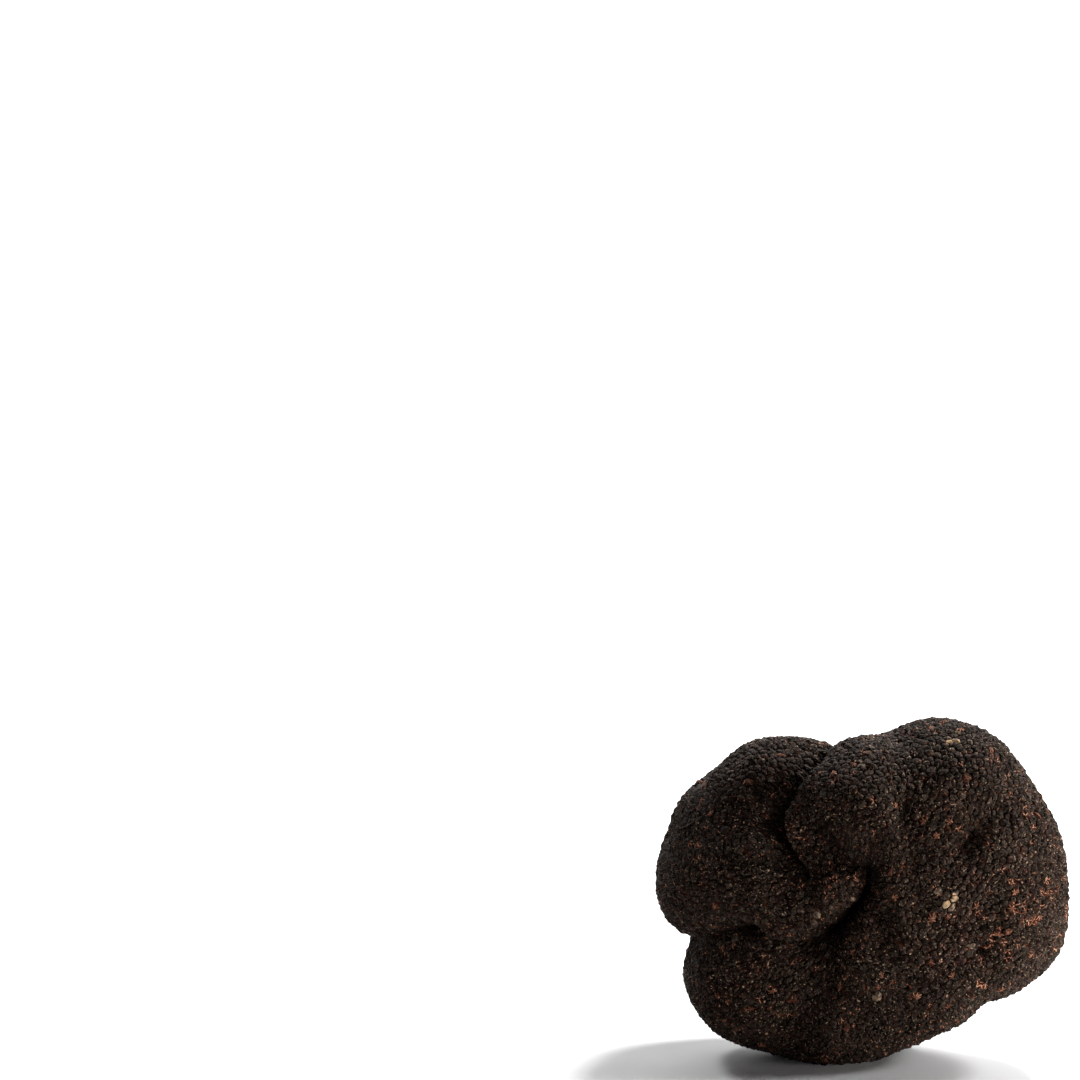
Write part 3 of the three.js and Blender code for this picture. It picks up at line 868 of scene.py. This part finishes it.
# ---------------------------------------------------------------------------------------------
# Operators
# ---------------------------------------------------------------------------------------------
class TRUFFLE_OT_build_tuber(bpy.types.Operator):
    """Build the tuber: lobes, folds and every wart of its skin"""

    bl_idname = "truffle.build_tuber"
    bl_label = "Build Tuber"

    def execute(self, context):
        body = context.scene.truffle_body
        warts = context.scene.truffle_warts
        random = np.random.default_rng(body.seed)
        deselect_all()
        bpy.ops.mesh.primitive_ico_sphere_add(subdivisions=6, radius=1.0)
        tuber = context.object
        tuber.name = tuber.data.name = "tuber"
        points, faces, facet_uv, facing, facts = wart_mesh(tuber, body, warts, random)

        mesh = tuber.data
        mesh.clear_geometry()
        mesh.from_pydata(((points + INNER_CENTRE) * MM).tolist(), [], faces.tolist())
        corner_points = points[faces.ravel()]
        chart = mesh.uv_layers.new(name="OFBake")
        chart.uv.foreach_set("vector", cube_chart(corner_points, facing).ravel())
        facets = mesh.uv_layers.new(name="facet")
        facets.uv.foreach_set("vector", facet_uv.ravel())
        colours = mesh.color_attributes.new("wart", "FLOAT_COLOR", "CORNER")
        colours.data.foreach_set("color", facts.ravel())
        mesh.validate()
        mesh.update()

        bpy.ops.object.shade_flat()
        mesh.materials.clear()
        mesh.materials.append(skin_material(context.scene.truffle_skin))
        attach(tuber, "root")
        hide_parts("truffle")
        return {"FINISHED"}


# The paper in metres: how far it runs to each side, to the front and to the back before it bends up, then
# its height, the radius of the bend and the bend's steps.
PAPER_HALF_WIDTH, PAPER_FRONT, PAPER_BACK = 4.0, -3.0, 1.6
PAPER_RISE, PAPER_BEND, BEND_STEPS = 3.0, 0.9, 16

# The lights: place, the point each looks at, its width, and its power as a multiple of the key light's.
MIDDLE = (0.0, 0.0, 0.028)
LIGHTS = {
    "key": ((0.25, -0.03, 0.15), MIDDLE, 0.04, 1),
    "front": ((0.35, -0.6, 0.05), MIDDLE, 0.2, 1.5),
    "bounce": ((0.09, -0.05, 0.006), (0.02, 0.0, 0.02), 0.03, 0.235),
    "back_right": ((0.325, 0.15, 0.383), MIDDLE, 0.1, 4.0),
    "back_top": ((0.122, 0.244, 0.447), MIDDLE, 0.1, 8.6),
    "back_left": ((-0.25, 0.25, 0.383), MIDDLE, 0.1, 2.6),
    "backdrop": ((0.0, 0.9, 1.7), (0.0, 2.6, 0.9), 1.6, 540),
}

# The camera: its sensor in millimetres, the square frame in pixels, where the inner centre lands in it
# from the left and from the top, and how wide a pixel is there.
SENSOR_WIDTH = 36
FRAME_SIDE = 1080
CENTRE_IN_FRAME = (863.5, 890.0)
PIXEL_SIZE = 0.163 * MM


def soft_light(name, place, target, size, power):
    bpy.ops.object.light_add(type="AREA", location=place)
    light = bpy.context.object
    light.name = light.data.name = name
    light.data.shape = "DISK"
    light.data.size = size
    light.data.energy = power
    light.rotation_euler = (Vector(target) - Vector(place)).to_track_quat("-Z", "Y").to_euler()
    return light


class TRUFFLE_OT_build_stage(bpy.types.Operator):
    """Lay the pale paper sweep, hang the soft lights and set the camera"""

    bl_idname = "truffle.build_stage"
    bl_label = "Build Stage"

    def execute(self, context):
        stage = context.scene.truffle_stage
        self.lay_paper(stage)
        self.hang_lights(context.scene, stage)
        self.set_camera(context.scene, stage)
        return {"FINISHED"}

    def lay_paper(self, stage):
        deselect_all()
        bpy.ops.mesh.primitive_plane_add(size=1.0)
        paper = bpy.context.object
        paper.name = paper.data.name = "paper_sweep"
        turns = np.linspace(0, math.pi / 2, BEND_STEPS + 1)
        bend = [(PAPER_BACK + PAPER_BEND * math.sin(t), PAPER_BEND - PAPER_BEND * math.cos(t)) for t in turns]
        profile = [(PAPER_FRONT, 0.0), *bend, (PAPER_BACK + PAPER_BEND, PAPER_RISE)]
        points = [(side * PAPER_HALF_WIDTH, y, z) for y, z in profile for side in (-1, 1)]
        faces = [(2 * i, 2 * i + 1, 2 * i + 3, 2 * i + 2) for i in range(len(profile) - 1)]
        paper.data.clear_geometry()
        paper.data.from_pydata(points, [], faces)
        paper.data.update()
        bpy.ops.object.shade_smooth()
        material = bpy.data.materials.new("paper")
        material.use_nodes = True
        shader = material.node_tree.nodes["Principled BSDF"]
        shader.inputs["Base Color"].default_value = (*stage.paper, 1)
        shader.inputs["Roughness"].default_value = 0.9
        shader.inputs["Specular IOR Level"].default_value = 0.2
        paper.data.materials.append(material)

    def hang_lights(self, scene, stage):
        for name, (place, target, size, share) in LIGHTS.items():
            soft_light(name, place, target, size, stage.key_power * share)
        world = bpy.data.worlds.new("studio")
        world.use_nodes = True
        world.node_tree.nodes["Background"].inputs[0].default_value = (1, 1, 1, 1)
        world.node_tree.nodes["Background"].inputs[1].default_value = stage.fill
        scene.world = world
        scene.view_settings.view_transform = "Standard"

    def set_camera(self, scene, stage):
        """The truffle stands low and to the right of the frame, so the camera aims past it."""
        centre = Vector(INNER_CENTRE) * MM
        bpy.ops.object.camera_add()
        camera = bpy.context.object
        camera.name = camera.data.name = "camera"
        camera.data.lens = stage.lens
        camera.data.sensor_width = SENSOR_WIDTH
        camera.data.clip_start = 0.01
        distance = FRAME_SIDE * PIXEL_SIZE * stage.lens / SENSOR_WIDTH
        back = Vector((0, -math.cos(stage.elevation), math.sin(stage.elevation)))
        camera.location = centre + back * distance
        # with the horizon level, turn and tip until the centre lands at its place in the frame
        ahead = FRAME_SIDE * stage.lens / SENSOR_WIDTH
        right, up = CENTRE_IN_FRAME[0] - FRAME_SIDE / 2, FRAME_SIDE / 2 - CENTRE_IN_FRAME[1]
        right, up, ahead = Vector((right, up, ahead)).normalized()
        sight = -back
        tip = math.asin(sight.z / math.hypot(up, ahead)) - math.atan2(up, ahead)
        level = math.sqrt(sight.x**2 + sight.y**2 - right**2)
        heading = math.atan2(sight.x, sight.y) - math.atan2(right, level)
        camera.rotation_euler = (math.pi / 2 + tip, 0, -heading)
        scene.camera = camera
        camera.data.dof.use_dof = False


class TRUFFLE_PT_sidebar(bpy.types.Panel):
    """Settings and build steps of the truffle"""

    bl_idname = "TRUFFLE_PT_sidebar"
    bl_label = "Black Truffle"
    bl_space_type = "VIEW_3D"
    bl_region_type = "UI"
    bl_category = "Truffle"

    def draw(self, context):
        layout = self.layout
        for title, group in (
            ("Body", context.scene.truffle_body),
            ("Warts", context.scene.truffle_warts),
            ("Skin", context.scene.truffle_skin),
            ("Stage", context.scene.truffle_stage),
        ):
            box = layout.box()
            box.label(text=title)
            for name in group.__annotations__:
                box.prop(group, name)
        layout.operator(TRUFFLE_OT_build_tuber.bl_idname)
        layout.operator(TRUFFLE_OT_build_stage.bl_idname)


GROUPS = {
    "truffle_body": BodySettings,
    "truffle_warts": WartSettings,
    "truffle_skin": SkinSettings,
    "truffle_stage": StageSettings,
}
CLASSES = (*GROUPS.values(), TRUFFLE_OT_build_tuber, TRUFFLE_OT_build_stage, TRUFFLE_PT_sidebar)


def register():
    for cls in CLASSES:
        bpy.utils.register_class(cls)
    for name, cls in GROUPS.items():
        setattr(bpy.types.Scene, name, bpy.props.PointerProperty(type=cls))


def unregister():
    for name in GROUPS:
        delattr(bpy.types.Scene, name)
    for cls in reversed(CLASSES):
        bpy.utils.unregister_class(cls)


def main():
    register()
    bpy.ops.truffle.build_tuber()
    bpy.ops.truffle.build_stage()


if __name__ == "__main__":
    main()
